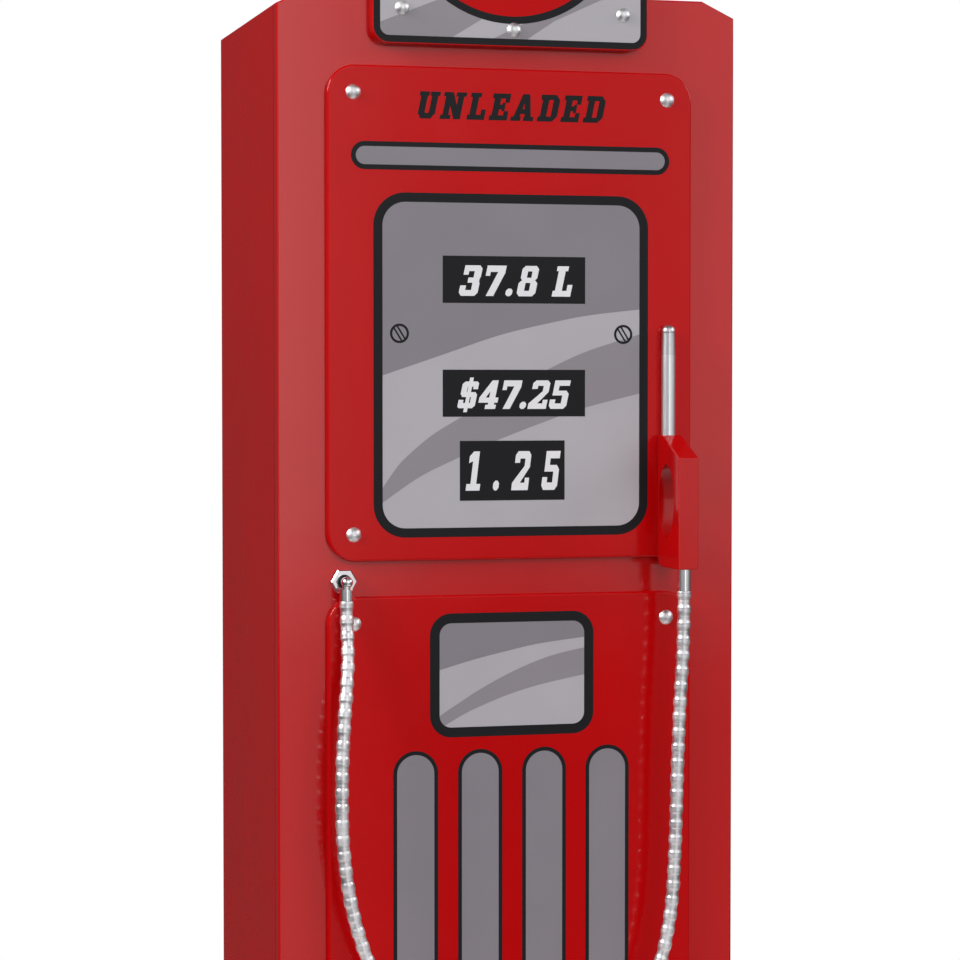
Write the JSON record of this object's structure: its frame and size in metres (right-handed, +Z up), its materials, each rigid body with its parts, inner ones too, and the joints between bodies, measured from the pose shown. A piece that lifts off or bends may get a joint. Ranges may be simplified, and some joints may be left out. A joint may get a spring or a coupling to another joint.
{
  "type": "petrol pump wardrobe",
  "caption": "Tall narrow lacquered cabinet shaped as an old petrol pump: hinged door with raised panels, round-topped sign, nozzle handle and hanging metal hose.",
  "frame": {"origin": "on the floor, under the middle of the outline, hose left out", "axes": "+X to the right of someone facing the door, +Y to the back, +Z up"},
  "size_m": [0.54, 0.445, 1.6518],
  "materials": {
    "red_lacquer": "high-gloss lacquer on MDF",
    "white_hardboard": "white lacquered hardboard",
    "printed_film": "satin printed vinyl film",
    "chrome": "bright chrome plating",
    "nickel_steel": "nickel-plated pressed steel",
    "zinc_steel": "bright zinc-plated steel",
    "zinc_casting": "as-cast zinc",
    "beech": "bare beech",
    "dark_plastic": "moulded",
    "clear_plastic": "soft clear plastic"
  },
  "bodies": {
    "carcass": {"side_left": "red_lacquer", "side_right": "red_lacquer", "top_panel": "red_lacquer", "bottom_panel": "red_lacquer", "plinth_board": "red_lacquer", "fixed_shelf": "red_lacquer", "shelf_1": "red_lacquer", "shelf_2": "red_lacquer", "shelf_3": "red_lacquer", "back_panel": "white_hardboard", "shelf_pins": "zinc_steel", "cam_locks": "zinc_casting", "cam_bolts": "zinc_steel", "wood_dowels": "beech", "back_nails": "zinc_steel", "wall_brackets": "zinc_steel", "bracket_screws": "zinc_steel", "glides": "dark_plastic", "hinge_plates": "nickel_steel", "hinge_plate_screws": "zinc_steel", "hinge_arms": "nickel_steel", "hinge_arm_screws": "zinc_steel"},
    "hinge_links": {"hinge_links": "nickel_steel", "link_pins": "zinc_steel"},
    "door": {"door_board": "red_lacquer", "upper_panel": "red_lacquer", "lower_panel": "red_lacquer", "sign_board": "red_lacquer", "sign_film": "printed_film", "title_bar_film": "printed_film", "display_film": "printed_film", "window_film": "printed_film", "vent_films": "printed_film", "upper_panel_screws": "chrome", "lower_panel_screws": "chrome", "sign_screws": "chrome", "hinge_cups": "nickel_steel", "cup_pins": "zinc_steel", "cup_screws": "zinc_steel", "handle_block": "red_lacquer", "handle_spout": "chrome", "handle_screws": "zinc_steel", "outlet_nut": "chrome", "outlet_elbow": "chrome", "outlet_locknut": "zinc_steel", "outlet_ferrule": "chrome", "handle_ferrule": "chrome", "hose": "chrome", "door_buffers": "clear_plastic"}
  },
  "joints": [
    {"name": "link_swing", "type": "hinge", "parent": "carcass", "child": "hinge_links", "pos_m": [-0.2395, -0.1245, 0.64], "axis": [0, 0, -1], "range_deg": [-48, 0]},
    {"name": "door_swing", "type": "hinge", "parent": "hinge_links", "child": "door", "pos_m": [-0.2585, -0.1245, 0.64], "axis": [0, 0, -1], "range_deg": [0, 144]}
  ],
  "couplings": [
    {"joint": "door_swing", "follows": "link_swing", "ratio": -3}
  ]
}
